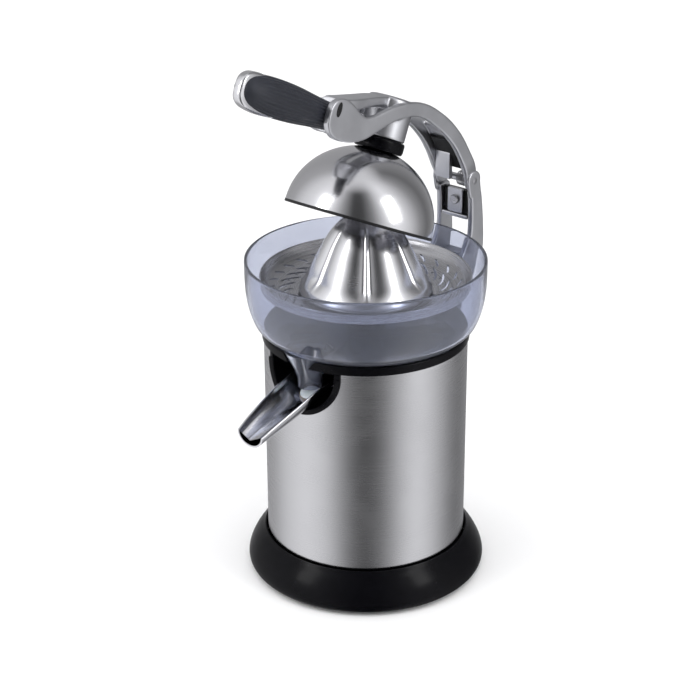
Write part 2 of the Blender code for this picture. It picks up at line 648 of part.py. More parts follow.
def make_lever():
    axis = add_empty("lever_axis", (0, *HINGE), tip_x=-LEVER_LIFT)
    hub_at = (0, HUB_Y - HINGE[0])
    drop = -HINGE[1]

    def raised(profile):
        return [(r, z + drop) for r, z in profile]

    strap = band(lever_points(ARM_LINE), ARM_WIDTH, 3)
    frame = prism("arm_frame", strap, ARM_INNER, ARM_OUTER, cast(), axis="X", parent=axis)
    other = prism("guide_arm_left", strap, -ARM_OUTER, -ARM_INNER, None, axis="X", parent=axis)
    hub = turned("guide_hub", raised(rod_profile(ARM_OUTER - 0.6, 312, 344)), None, sides=40,
                 at=hub_at, parent=axis)
    spine = [(-8, 343.6), (-30, 338), (-52, 332.4), (-66, 330), (-66, 322), (-52, 323.4),
             (-34, 330.4), (-8, 334)]
    rib = prism("guide_spine", lever_points(spine), -9, 9, None, axis="X", parent=axis)

    def oval(y, middle, high, half):
        ring = []
        for i in range(20):
            angle = 2 * math.pi * i / 20
            ring.append(Vector((half * math.cos(angle), y - HINGE[0],
                                middle + high * math.sin(angle) - HINGE[1])))
        return ring

    nose = loft("guide_nose", [oval(-44, 313.6, 9, 18.3), oval(-52, 314.6, 12.4, 18),
                               oval(-60, 316, 13.8, 16.4), oval(SOCKET_END, 316.6, 12.6, 13.2)],
                None, parent=axis)
    add_to(frame, other, hub, rib, nose)
    for side in (-1, 1):
        tag = "right" if side > 0 else "left"
        ends = sorted((side * (ARM_INNER + 0.1), side * 17))
        eye = turned(f"guide_lever_eye_{tag}", rod_profile(EYE_RADIUS, *ends), None, axis="X",
                     sides=36, parent=axis)
        ends = sorted((side * 15.85, side * 20))
        lap = turned(f"guide_lever_lap_{tag}", rod_profile(EYE_RADIUS + 0.4, *ends), None,
                     axis="X", sides=36, parent=axis)
        add_to(frame, eye)
        cut(frame, lap)
    bore = turned("guide_lever_bore", rod_profile(PIN_RADIUS + GAP, -25, 25), None, axis="X",
                  sides=24, parent=axis)
    bolt_way = turned("guide_bolt_way", raised(rod_profile(3.4, 300, 350)), None, sides=20,
                      at=hub_at, parent=axis)
    cut(frame, bore, bolt_way)

    block = rectangle(-11.6, -7.6, 0.5, 23.5, 1.2)
    tipped = [(u * math.cos(LEVER_LIFT) - v * math.sin(LEVER_LIFT),
               u * math.sin(LEVER_LIFT) + v * math.cos(LEVER_LIFT)) for u, v in block]
    prism("lever_stop", tipped, -(ARM_INNER - GAP), 1.0, cast(), axis="X", parent=axis)

    collar = raised([(19.2, 302.2), (19.4, 304), (19.4, 310.6), (18.8, 311.7), (3.4, 311.7),
                     (3.4, 304.6), (10, 304)])
    turned("neck_collar", collar, gloss_black(), closed=True, sides=28, at=hub_at, parent=axis)

    def arch(radius, rise, steps, inner=False):
        span = [i / steps for i in range(steps + 1)]
        low = 3.4 / radius
        line = [(radius * math.cos(a), DOME_RIM + rise * math.sin(a))
                for a in (t * math.acos(low) for t in span)]
        return line[::-1] if inner else line

    dome = raised(arch(DOME_RADIUS, DOME_RISE, 8) + arch(DOME_RADIUS - 1.2, DOME_RISE - 1.2, 6, True))
    turned("press_dome", dome, polished(), closed=True, at=hub_at, parent=axis)
    edge = raised([(DOME_RADIUS + 0.3, DOME_RIM - 0.4), (DOME_RADIUS + 0.3, DOME_RIM - 2),
                   (DOME_RADIUS - 1.6, DOME_RIM - 2), (DOME_RADIUS - 1.6, DOME_RIM - 0.4)])
    turned("dome_edge", edge, matt_black(), closed=True, at=hub_at, parent=axis)
    bolt = raised([(0, 300.8), (5.2, 300.8), (5.6, 302.2), (3, 302.4), (3, 348), (0, 348)])
    turned("dome_bolt", bolt, steel(), sides=20, at=hub_at, parent=axis)
    nut = raised(tube_profile(3.8, 6.2, 344.4, 347.4))
    turned("dome_nut", nut, steel(), closed=True, sides=6, at=hub_at, parent=axis)
    make_handle(axis)


def make_handle(axis):
    offset = (0, HANDLE_Z - HINGE[1])
    core = [(0, HANDLE_END), (6, HANDLE_END + 0.8), (10.6, HANDLE_END + 3.6),
            (12.6, HANDLE_END + 8), (12, GRIP_END - GAP), (6.6, GRIP_END - GAP),
            (6.6, SOCKET_END - GAP), (0, SOCKET_END - GAP)]
    turned("handle_core", [(r, y - HINGE[0]) for r, y in core], polished(), axis="Y", at=offset,
           sides=32, parent=axis)
    outer = [(9.8, GRIP_END), (12.2, -152), (13.6, -138), (13.9, -122), (13.5, -106), (12.6, -90),
             (11.4, -78), (10.4, SOCKET_END - GAP)]
    inner = [(6.9, SOCKET_END - GAP), (6.9, GRIP_END)]
    turned("hand_grip", [(r, y - HINGE[0]) for r, y in outer + inner], rubber(), closed=True,
           axis="Y", at=offset, sides=24, parent=axis)


def main():
    clear_scene()
    make_base()
    make_body()
    make_recess()
    make_motor()
    make_gears()
    make_bowl()
    make_strainer()
    make_cone()
    make_spout()
    make_column()
    make_lever()


main()
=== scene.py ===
import json
import math

import bmesh
import bpy
import numpy as np
from mathutils import Matrix, Vector


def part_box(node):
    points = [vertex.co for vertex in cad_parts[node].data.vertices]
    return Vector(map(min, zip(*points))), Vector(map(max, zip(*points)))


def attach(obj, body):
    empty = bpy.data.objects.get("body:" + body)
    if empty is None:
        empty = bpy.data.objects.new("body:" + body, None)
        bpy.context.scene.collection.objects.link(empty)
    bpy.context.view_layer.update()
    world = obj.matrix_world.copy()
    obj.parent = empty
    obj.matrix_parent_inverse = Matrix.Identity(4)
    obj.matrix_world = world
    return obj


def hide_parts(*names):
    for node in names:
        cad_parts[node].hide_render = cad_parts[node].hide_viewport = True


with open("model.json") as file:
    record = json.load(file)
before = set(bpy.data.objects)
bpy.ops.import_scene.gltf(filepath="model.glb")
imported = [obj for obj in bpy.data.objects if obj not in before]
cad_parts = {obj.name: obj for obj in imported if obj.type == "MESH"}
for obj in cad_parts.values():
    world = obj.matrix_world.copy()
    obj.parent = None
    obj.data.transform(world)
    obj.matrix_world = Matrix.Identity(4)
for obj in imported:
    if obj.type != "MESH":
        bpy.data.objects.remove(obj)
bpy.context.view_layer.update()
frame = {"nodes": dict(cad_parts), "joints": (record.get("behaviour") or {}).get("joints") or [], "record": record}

# Shapes are written in millimetres in the row frame and scaled by MM when a mesh is made.
MM = 0.001
RECORD = frame["record"]
BODY_OF = {node: body for body, nodes in RECORD["behaviour"]["bodies"].items() for node in nodes}
SLOT_OF = {part["node"]: part["material_slot"] for part in RECORD["subparts"]}
JOINTS = {joint["name"]: joint for joint in frame["joints"]}


def low(node, axis):
    """Lowest coordinate of a CAD node along an axis, in millimetres."""
    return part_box(node)[0]["XYZ".index(axis)] / MM


def high(node, axis):
    """Highest coordinate of a CAD node along an axis, in millimetres."""
    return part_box(node)[1]["XYZ".index(axis)] / MM


# driving sizes, read from the frame
FLOOR = low("foot_1", "Z")
BODY_R = high("body_shell", "X")
BODY_LOW, BODY_TOP = low("body_shell", "Z"), high("body_shell", "Z")
RING_R = high("top_deck", "X")
BOWL_R, BOWL_TOP = high("juice_bowl", "X"), high("juice_bowl", "Z")
CONE_TOP = high("juicing_cone", "Z")
HINGE = np.array(JOINTS["lever_hinge"]["pos_m"]) / MM
SPOUT_HINGE = np.array(JOINTS["spout_tilt"]["pos_m"]) / MM

# driving sizes of the shapes that the frame only outlines
SIDES = 144
LIFT = math.radians(25.0)        # how far the lever is tipped back from level
HUB_Y = 3.5                      # axis of hub and dome with the lever level
ARM_OUT, ARM_IN = 18.5, 13.5     # outer and inner faces of the side plates
EYE_IN, EYE_DEEP = 16.2, 2.3     # where the column's eyes lap the lever's, and the eyes' thickness
LAP_OUT = 15.85                  # outer face of the lever where it runs inside the column's eyes
OUTLET_Y = -68.0
RECESS_Z, RECESS_R, POCKET_R = 197.5, 35.4, 31.4
CONE_RIDGES = 6
DOME_R, DOME_RIM, DOME_RISE = 58.5, 248.0, 56.0
GRIP_Z = 314.5                   # axis of the handle with the lever level
GRIP_START, GRIP_LONG = -70.3, 98.2
SPOUT_SLOPE = math.tan(math.radians(19.0))
VIEW = math.radians(39.5)        # azimuth that the camera looks from


# ---------------------------------------------------------------- numpy shapes

def curve(points, steps=8):
    """Smooth line through the points: on each span the Catmull-Rom cubic
    0.5 * (2 p1 + (p2 - p0) t + (2 p0 - 5 p1 + 4 p2 - p3) t^2 + (3 p1 - p0 - 3 p2 + p3) t^3)."""
    p = np.array(points, float)
    ends = np.vstack([p[:1], p, p[-1:]])
    p0, p1, p2, p3 = (ends[k:len(ends) - 3 + k, None, :] for k in range(4))
    t = (np.arange(steps) / steps)[None, :, None]
    spans = 0.5 * (2 * p1 + (p2 - p0) * t + (2 * p0 - 5 * p1 + 4 * p2 - p3) * t ** 2
                   + (3 * p1 - p0 - 3 * p2 + p3) * t ** 3)
    return np.vstack([spans.reshape(-1, p.shape[1]), p[-1:]])


def softened(corners, steps=5, closed=True):
    """Polygon with its corners rounded. Each corner is (u, v, reach): a quadratic Bezier arc
    (1-t)^2 A + 2 t (1-t) C + t^2 B runs from A to B, which lie `reach` before and after corner C
    along its two sides."""
    c = np.array(corners, float)
    points, reach = c[:, :2], c[:, 2:]
    before, after = np.roll(points, 1, 0) - points, np.roll(points, -1, 0) - points
    length_before = np.linalg.norm(before, axis=1, keepdims=True)
    length_after = np.linalg.norm(after, axis=1, keepdims=True)
    a = points + before / length_before * np.minimum(reach, 0.49 * length_before)
    b = points + after / length_after * np.minimum(reach, 0.49 * length_after)
    t = np.linspace(0, 1, steps)[None, :, None]
    arcs = (1 - t) ** 2 * a[:, None] + 2 * t * (1 - t) * points[:, None] + t ** 2 * b[:, None]
    if not closed:
        arcs[0], arcs[-1] = points[0], points[-1]
    return arcs.reshape(-1, 2)


def turned(profile, sides=SIDES, centre=(0.0, 0.0), scale=None):
    """Grid of a turned piece: at profile point (r, z) and angle a it is
    (cx + r cos a, cy + r sin a, z). scale(a, r, z) may multiply the radius."""
    r, z = np.array(profile, float).T[:, :, None]
    a = np.linspace(0, 2 * math.pi, sides, endpoint=False)[None, :]
    reach = r * (scale(a, r, z) if scale else np.ones_like(a))
    return np.stack([centre[0] + reach * np.cos(a), centre[1] + reach * np.sin(a),
                     z + np.zeros_like(a)], axis=-1)


def laid(points, axis, at):
    """A grid turned about Z laid over so that its axis runs along X or Y through a point:
    (x, y, z) becomes (z, x, y) for X and (x, z, -y) for Y."""
    x, y, z = np.moveaxis(points, -1, 0)
    laid_out = (z, x, y) if axis == "X" else (x, z, -y)
    return np.stack(laid_out, axis=-1) + np.array(at, float)


def swept(centre, side, rise, sections):
    """A section carried along a path: row i, column j is
    centre[i] + side[i] * sections[i, j, 0] + rise[i] * sections[i, j, 1]."""
    return (centre[:, None] + side[:, None] * sections[..., :1]
            + rise[:, None] * sections[..., 1:])


def box_section(half_wide, half_thick, corner, steps=5):
    """Rounded rectangle sections, one per row: on quarter k the point is the corner's middle plus
    corner * (cos t, sin t), with t running over that quarter."""
    wide = np.atleast_1d(np.asarray(half_wide, float))[:, None]
    thick = np.atleast_1d(np.asarray(half_thick, float))[:, None]
    quarter = np.repeat(np.arange(4), steps)
    t = (quarter + np.tile(np.linspace(0, 1, steps), 4)) * math.pi / 2
    middle = (quarter + 0.5) * math.pi / 2
    u = np.sign(np.cos(middle)) * (wide - corner) + corner * np.cos(t)
    v = np.sign(np.sin(middle)) * (thick - corner) + corner * np.sin(t)
    return np.stack(np.broadcast_arrays(u, v), axis=-1)


def closed_ends(points):
    """Adds a row collapsed to its middle at each end of a grid, so that the tube is shut."""
    first, last = points[:1].mean(1, keepdims=True), points[-1:].mean(1, keepdims=True)
    ones = np.ones((1, points.shape[1], 1))
    return np.concatenate([first * ones, points, last * ones])


def strap(rows, corner=1.0, steps=6):
    """A flat strap along a smooth line in the Y-Z plane. Each row is (y, z, half width, inner x,
    outer x); a rounded rectangle of that width and thickness is carried along the line."""
    path = curve(rows, steps)
    along = np.gradient(path[:, :2], axis=0)
    along /= np.linalg.norm(along, axis=1, keepdims=True)
    zero = np.zeros(len(path))
    centre = np.column_stack([(path[:, 3] + path[:, 4]) / 2, path[:, :2]])
    side = np.column_stack([zero, -along[:, 1], along[:, 0]])
    rise = np.tile((1.0, 0.0, 0.0), (len(path), 1))
    thick = np.abs(path[:, 4] - path[:, 3]) / 2
    return closed_ends(swept(centre, side, rise, box_section(path[:, 2], thick, corner)))


def ovals(rows, steps=6, sides=64, power=2.4):
    """A blend of level ovals along Y. Each row is (y, z, half width, half height); a point of the
    oval is half size times (sign(cos a) |cos a|^(2/power), sign(sin a) |sin a|^(2/power))."""
    path = curve(rows, steps)
    a = np.linspace(0, 2 * math.pi, sides, endpoint=False)[None, :]
    x = np.sign(np.cos(a)) * np.abs(np.cos(a)) ** (2 / power) * path[:, 2:3]
    z = np.sign(np.sin(a)) * np.abs(np.sin(a)) ** (2 / power) * path[:, 3:4] + path[:, 1:2]
    return closed_ends(np.stack([x, path[:, :1] + np.zeros_like(x), z], axis=-1))


def tipped(points):
    """From the level lever to where it stands: turned by LIFT about the hinge's X axis,
    y' = y cos L + z sin L and z' = -y sin L + z cos L, both measured from the hinge."""
    x, y, z = np.moveaxis(points - HINGE, -1, 0)
    return np.stack([x, y * math.cos(LIFT) + z * math.sin(LIFT),
                     -y * math.sin(LIFT) + z * math.cos(LIFT)], axis=-1) + HINGE


# ---------------------------------------------------------------- meshes and pieces

def grid_mesh(name, grids, rings=False, sharp=32):
    """One mesh from grids of points. Quad (i, j) joins rows i, i+1 and columns j, j+1; columns
    always close round, rows close too when rings is set. The UV map holds (turn, length)."""
    coordinates, faces, turns, start = [], [], [], 0
    for points in grids:
        rows, columns = points.shape[:2]
        i = np.arange(rows if rings else rows - 1)[:, None]
        j = np.arange(columns)[None, :]
        corners = [(i, j), (i, j + 1), (i + 1, j + 1), (i + 1, j)]
        index = [a % rows * columns + b % columns for a, b in corners]
        faces.append(np.stack(index, axis=-1).reshape(-1, 4) + start)
        length = np.concatenate([[0], np.cumsum(np.linalg.norm(np.diff(points[:, 0], axis=0), axis=1))])
        uv = [np.stack(np.broadcast_arrays(b / columns, length[a % rows]), axis=-1) for a, b in corners]
        turns.append(np.stack(uv, axis=2).reshape(-1, 2))
        coordinates.append(points.reshape(-1, 3) * MM)
        start += rows * columns
    co, quads, uvs = np.concatenate(coordinates), np.concatenate(faces), np.concatenate(turns)
    mesh = bpy.data.meshes.new(name)
    mesh.vertices.add(len(co))
    mesh.vertices.foreach_set("co", co.ravel())
    mesh.loops.add(quads.size)
    mesh.loops.foreach_set("vertex_index", quads.ravel().astype(np.int32))
    mesh.polygons.add(len(quads))
    mesh.polygons.foreach_set("loop_start", np.arange(0, quads.size, 4, dtype=np.int32))
    mesh.update(calc_edges=True)
    mesh.uv_layers.new(name="turn").data.foreach_set("uv", uvs.ravel().astype(np.float32))
    welded(mesh, sharp)
    return mesh


def welded(mesh, sharp=32):
    """Merges seams and poles, turns the faces outwards and smooths all but the sharp edges."""
    bm = bmesh.new()
    bm.from_mesh(mesh)
    bmesh.ops.remove_doubles(bm, verts=bm.verts, dist=2e-6)
    bmesh.ops.dissolve_degenerate(bm, edges=bm.edges, dist=1e-7)
    if bm.calc_volume(signed=True) < 0:
        bmesh.ops.reverse_faces(bm, faces=bm.faces)
    bm.to_mesh(mesh)
    bm.free()
    mesh.shade_smooth()
    mesh.set_sharp_from_angle(angle=math.radians(sharp))


def link(name, mesh):
    obj = bpy.data.objects.new(name, mesh)
    bpy.context.scene.collection.objects.link(obj)
    return obj


def placed(name, mesh, finish, *nodes):
    """Shows a finished mesh in place of CAD nodes, in the given finish: it rides on their body."""
    obj = link(name, mesh)
    mesh.materials.clear()
    mesh.materials.append(finish)
    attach(obj, BODY_OF[nodes[0]])
    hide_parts(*nodes)
    return obj


def added(name, mesh, finish, beside):
    """Shows a mesh that the frame has no node for, in the given finish, on the body of a CAD node."""
    obj = link(name, mesh)
    mesh.materials.clear()
    mesh.materials.append(finish)
    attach(obj, BODY_OF[beside])
    return obj


def modified(mesh, *steps):
    """The mesh after modifiers, each a (kind, settings) pair, as a new mesh."""
    obj = link("work", mesh)
    for kind, settings in steps:
        step = obj.modifiers.new(kind.lower(), kind)
        for key, value in settings.items():
            setattr(step, key, value)
    graph = bpy.context.evaluated_depsgraph_get()
    done = bpy.data.meshes.new_from_object(obj.evaluated_get(graph))
    bpy.data.objects.remove(obj)
    return done


def carved(mesh, *tools, how="DIFFERENCE"):
    """The mesh with tool meshes cut away, or joined to it."""
    cutters = [link("tool", tool) for tool in tools]
    done = modified(mesh, *[("BOOLEAN", {"operation": how, "solver": "EXACT", "object": cutter})
                            for cutter in cutters])
    for cutter in cutters:
        bpy.data.objects.remove(cutter)
    done.shade_smooth()
    done.set_sharp_from_angle(angle=math.radians(32))
    return done


def cast_from(name, grids, voxel, rounds):
    """Several closed grids melted into one casting: remeshed with voxels of one size, then
    smoothed so that the inside corners become fillets."""
    mesh = modified(grid_mesh(name, grids),
                    ("REMESH", {"mode": "VOXEL", "voxel_size": voxel * MM}),
                    ("SMOOTH", {"factor": 0.5, "iterations": rounds}))
    mesh.name = name
    mesh.shade_smooth()
    return mesh


# ---------------------------------------------------------------- finishes

def new_finish(name, colour, metallic=0.0, roughness=0.4, **sockets):
    """A material and its shader, with the values that are the same all over set on its sockets."""
    finish = bpy.data.materials.new(name)
    finish.use_nodes = True
    shader = finish.node_tree.nodes["Principled BSDF"]
    shader.inputs["Base Color"].default_value = (*colour, 1.0)
    shader.inputs["Metallic"].default_value = metallic
    shader.inputs["Roughness"].default_value = roughness
    for key, value in sockets.items():
        shader.inputs[key.replace("_", " ")].default_value = value
    return finish, shader


class Nodes:
    """Short ways to add the nodes that every finish uses."""

    def __init__(self, finish, turn=(0, 0, 0), shift=(0, 0, 0), source="Object"):
        self.tree = finish.node_tree
        place = self.add("ShaderNodeMapping")
        place.inputs["Rotation"].default_value = turn
        place.inputs["Location"].default_value = shift
        self.wire(self.add("ShaderNodeTexCoord").outputs[source], place.inputs["Vector"])
        self.place = place.outputs["Vector"]

    def add(self, kind, **settings):
        node = self.tree.nodes.new(kind)
        for key, value in settings.items():
            setattr(node, key, value)
        return node

    def wire(self, start, end):
        self.tree.links.new(start, end)

    def maths(self, operation, a, b=None):
        node = self.add("ShaderNodeMath", operation=operation)
        for socket, value in zip(node.inputs, (a, b)):
            if isinstance(value, (int, float)):
                socket.default_value = value
            elif value is not None:
                self.wire(value, socket)
        return node.outputs[0]

    def noise(self, vector, scale, detail=3.0, rough=0.55):
        node = self.add("ShaderNodeTexNoise")
        node.inputs["Scale"].default_value = scale
        node.inputs["Detail"].default_value = detail
        node.inputs["Roughness"].default_value = rough
        self.wire(vector, node.inputs["Vector"])
        return node.outputs["Fac"]

    def spread(self, value, low, high, start=0.3, end=0.7):
        """Maps a pattern's start..end to low..high."""
        node = self.add("ShaderNodeMapRange")
        for key, number in zip(("From Min", "From Max", "To Min", "To Max"), (start, end, low, high)):
            node.inputs[key].default_value = number
        self.wire(value, node.inputs["Value"])
        return node.outputs["Result"]

    def tint(self, value, dark, light, start=0.3, end=0.7):
        """Maps a pattern's start..end to two colours."""
        ramp = self.add("ShaderNodeValToRGB")
        ramp.color_ramp.elements[0].position, ramp.color_ramp.elements[1].position = start, end
        ramp.color_ramp.elements[0].color = (*dark, 1)
        ramp.color_ramp.elements[1].color = (*light, 1)
        self.wire(value, ramp.inputs["Fac"])
        return ramp.outputs["Color"]

    def rings(self, slow, fast):
        """A vector that changes slowly round the Z axis and fast along the profile, since
        z - sqrt(x^2 + y^2) grows steadily along the outside of a turned piece."""
        parts = self.add("ShaderNodeSeparateXYZ")
        self.wire(self.place, parts.inputs[0])
        x, y, z = parts.outputs
        out = self.maths("SQRT", self.maths("ADD", self.maths("MULTIPLY", x, x),
                                            self.maths("MULTIPLY", y, y)))
        joined = self.add("ShaderNodeCombineXYZ")
        for socket, value in zip(joined.inputs, (x, y)):
            self.wire(self.maths("MULTIPLY", value, slow), socket)
        self.wire(self.maths("MULTIPLY", self.maths("SUBTRACT", z, out), fast), joined.inputs[2])
        return joined.outputs[0]

    def relief(self, height, shader, strength, distance):
        bump = self.add("ShaderNodeBump")
        bump.inputs["Strength"].default_value = strength
        bump.inputs["Distance"].default_value = distance
        self.wire(height, bump.inputs["Height"])
        self.wire(bump.outputs["Normal"], shader.inputs["Normal"])


def mixed(colour, factor):
    return tuple(min(1.0, part * factor) for part in colour)


def brushed_metal(name, colour, roughness, anisotropy, turn=(0, 0, 0), shift=(0, 0, 0), grain=0.3):
    """Metal with fine lines left by turning or brushing round its axis, stronger with more grain,
    and faint smudges."""
    finish, shader = new_finish(name, colour, 1.0, roughness, Anisotropic=anisotropy)
    nodes = Nodes(finish, turn, shift)
    lines = nodes.noise(nodes.rings(12, 2600), 1.0, 4.0, 0.7)
    hazes = nodes.noise(nodes.place, 28, 2.0)
    tone = nodes.tint(lines, mixed(colour, 1 - 0.4 * grain), mixed(colour, 1 + 0.15 * grain))
    nodes.wire(tone, shader.inputs["Base Color"])
    base = nodes.spread(lines, roughness * (1 - 0.7 * grain), roughness * (1 + 0.7 * grain))
    nodes.wire(nodes.maths("ADD", base, nodes.spread(hazes, -0.02, 0.03)), shader.inputs["Roughness"])
    nodes.relief(lines, shader, grain, 0.00002)
    tangent = nodes.add("ShaderNodeTangent", direction_type="UV_MAP", uv_map="turn")
    nodes.wire(tangent.outputs[0], shader.inputs["Tangent"])
    return finish


def cast_metal(name, colour, roughness):
    """Blasted and lacquered die casting: a fine grain with slow changes of tone."""
    finish, shader = new_finish(name, colour, 1.0, roughness)
    nodes = Nodes(finish)
    grain = nodes.noise(nodes.place, 2600, 3.0, 0.6)
    clouds = nodes.noise(nodes.place, 45, 3.0)
    nodes.wire(nodes.tint(clouds, mixed(colour, 0.93), mixed(colour, 1.05)), shader.inputs["Base Color"])
    base = nodes.spread(grain, roughness - 0.05, roughness + 0.07)
    nodes.wire(nodes.maths("ADD", base, nodes.spread(clouds, -0.03, 0.03)), shader.inputs["Roughness"])
    nodes.relief(grain, shader, 0.25, 0.00006)
    return finish


def moulded(name, colour, roughness, texture=0.15, scale=1400, **sockets):
    """Moulded plastic or rubber: an even skin with a fine texture and light handling marks."""
    finish, shader = new_finish(name, colour, 0.0, roughness, **sockets)
    nodes = Nodes(finish)
    skin = nodes.noise(nodes.place, scale, 2.0)
    marks = nodes.noise(nodes.place, 60, 5.0, 0.65)
    nodes.wire(nodes.tint(marks, mixed(colour, 0.85), mixed(colour, 1.2)), shader.inputs["Base Color"])
    base = nodes.spread(marks, roughness * 0.8, roughness * 1.35)
    nodes.wire(base, shader.inputs["Roughness"])
    nodes.relief(skin, shader, texture, 0.00008)
    return finish


def clear_plastic(name, colour, roughness):
    """Smoky clear plastic, with a slight haze that varies and the faint waves of a moulding."""
    finish, shader = new_finish(name, colour, 0.0, roughness, Transmission_Weight=0.93, IOR=1.47)
    nodes = Nodes(finish)
    waves = nodes.noise(nodes.place, 22, 2.0)
    haze = nodes.noise(nodes.place, 160, 4.0)
    nodes.wire(nodes.tint(waves, mixed(colour, 0.96), colour), shader.inputs["Base Color"])
    nodes.wire(nodes.spread(haze, roughness * 0.6, roughness * 1.6), shader.inputs["Roughness"])
    nodes.relief(waves, shader, 0.12, 0.0006)
    return finish


LEVER_TURN = (LIFT, 0, 0)


def lever_shift(y, z):
    """Location that, with LEVER_TURN, moves a point of the level lever to the pattern's origin."""
    hub = Vector((0, HINGE[1], HINGE[2])) * MM
    level = Vector((0, y, z)) * MM
    return -(level - hub) - Matrix.Rotation(LIFT, 3, "X") @ hub


FINISHES = {
    "body": brushed_metal("body_steel", (0.60, 0.60, 0.615), 0.26, 0.75, grain=0.1),
    "dish": brushed_metal("strainer_steel", (0.46, 0.46, 0.48), 0.27, 0.4),
    "cone": brushed_metal("cone_steel", (0.74, 0.74, 0.76), 0.25, 0.0, grain=0.06),
    "dome": brushed_metal("dome_steel", (0.66, 0.66, 0.68), 0.15, 0.2, LEVER_TURN,
                          lever_shift(HUB_Y, DOME_RIM), grain=0.08),
    "bright": brushed_metal("bright_steel", (0.68, 0.68, 0.70), 0.16, 0.0, grain=0.1),
    "screw": brushed_metal("screw_steel", (0.5, 0.5, 0.52), 0.3, 0.0),
    "cast": cast_metal("satin_casting", (0.58, 0.585, 0.61), 0.36),
    "gloss": moulded("gloss_black_plastic", (0.0025, 0.0025, 0.0035), 0.20, 0.05, 500,
                     Specular_IOR_Level=0.09),
    "matt": moulded("matt_black_plastic", (0.008, 0.008, 0.009), 0.45, Specular_IOR_Level=0.3),
    "rubber": moulded("grip_rubber", (0.018, 0.020, 0.028), 0.5, 0.3, 2200,
                      Specular_IOR_Level=0.4),
    "clear": clear_plastic("smoky_clear_plastic", (0.57, 0.60, 0.71), 0.03),
    "white": moulded("natural_nylon", (0.74, 0.74, 0.71), 0.42),
    "seal": moulded("silicone", (0.80, 0.82, 0.86), 0.4, Subsurface_Weight=0.2),
    "copper": brushed_metal("copper_winding", (0.60, 0.27, 0.12), 0.35, 0.0),
    "brass": brushed_metal("turned_brass", (0.62, 0.45, 0.20), 0.3, 0.0),
}
SLOT_FINISH = {"brushed_steel": "screw", "polished_steel": "bright", "satin_aluminium": "cast",
               "gloss_black": "gloss", "matt_black": "matt", "rubber": "rubber",
               "smoky_clear": "clear", "white_plastic": "white", "silicone": "seal",
               "copper": "copper", "brass": "brass"}


def finish_nodes():
    """Carried-over CAD nodes take the finish of their slot."""
    for name, node in frame["nodes"].items():
        node.data.materials.clear()
        node.data.materials.append(FINISHES[SLOT_FINISH[SLOT_OF[name]]])


# ---------------------------------------------------------------- base and body

def make_base():
    """Plinth: a turned shell whose outside swells from under the steel body to its widest circle
    just above the floor; the cover, feet and screws below it are the CAD's."""
    outer = curve([(83.9, 31.2), (85.6, 28.9), (89.2, 24.4), (93.2, 18.4), (96.4, 11.8),
                   (97.8, 6.4), (97.3, 2.6), (95.2, 0.4), (93.4, 0.2)], 10)
    inner = [(91.2, 1.0), (91.2, 3.4), (94.0, 6.6), (90.0, 17.0), (82.6, 26.0), (82.5, 30.6),
             (83.0, 31.2)]
    hole = grid_mesh("hole", [laid(closed_ends(turned([(6.3, 80), (6.3, 110)], 32)), "Y",
                                   (0, 0, 13.5))])
    ring = carved(grid_mesh("plinth", [turned(np.vstack([outer, inner]))], rings=True), hole)
    placed("plinth", ring, FINISHES["gloss"], "base_ring")


def arch_tool(radius, y_from, y_to, top):
    """Cutter for the spout recess: a half disc below RECESS_Z that runs straight up to `top`,
    pushed along Y."""
    a = np.linspace(math.pi, 2 * math.pi, 49)
    x = np.concatenate([radius * np.cos(a), [radius, -radius]])
    z = np.concatenate([RECESS_Z + radius * np.sin(a), [top, top]])
    rows = np.stack([np.column_stack([x, np.full_like(x, y), z]) for y in (y_from, y_to)])
    return grid_mesh("arch", [closed_ends(rows)])


def make_body():
    """Steel sleeve with hemmed edges and the spout's half round cut, and the black deck on it."""
    sleeve = [(BODY_R - 0.9, BODY_LOW), (BODY_R - 0.2, BODY_LOW), (BODY_R, BODY_LOW + 0.6)]
    sleeve += [(BODY_R, z) for z in np.linspace(BODY_LOW + 4, BODY_TOP - 4, 12)]
    sleeve += [(BODY_R, BODY_TOP - 0.6), (BODY_R - 0.2, BODY_TOP), (BODY_R - 0.9, BODY_TOP)]
    shell = grid_mesh("sleeve", [turned(sleeve, 192)], rings=True)
    shell = carved(shell, arch_tool(RECESS_R + 0.3, -120, -40, 215))
    placed("steel_sleeve", shell, FINISHES["body"], "body_shell")

    deck = softened([(RING_R, 202.0, 0.4), (RING_R, 209.0, 1.4), (80.0, 209.0, 0.6),
                     (79.2, 208.0, 0.5), (11.0, 208.0, 2.0), (11.0, 229.0, 1.0), (8.2, 229.0, 0.5),
                     (8.2, 205.0, 0.5), (77.4, 205.0, 0.5), (77.4, 190.0, 0.3), (80.2, 190.0, 0.3),
                     (80.2, 202.0, 0.2)])
    funnel = softened([(0.0, 180, 0), (12.0, 180, 0.3), (12.0, 190, 2.0), (22.6, 214, 0.3),
                       (0.0, 214, 0)], closed=False)
    well = grid_mesh("well", [turned(funnel, 64, (0, OUTLET_Y))])
    top = carved(grid_mesh("deck", [turned(deck)], rings=True),
                 arch_tool(RECESS_R + 0.3, -120, -45, 201.8), well)
    placed("black_deck", top, FINISHES["gloss"], "top_deck")


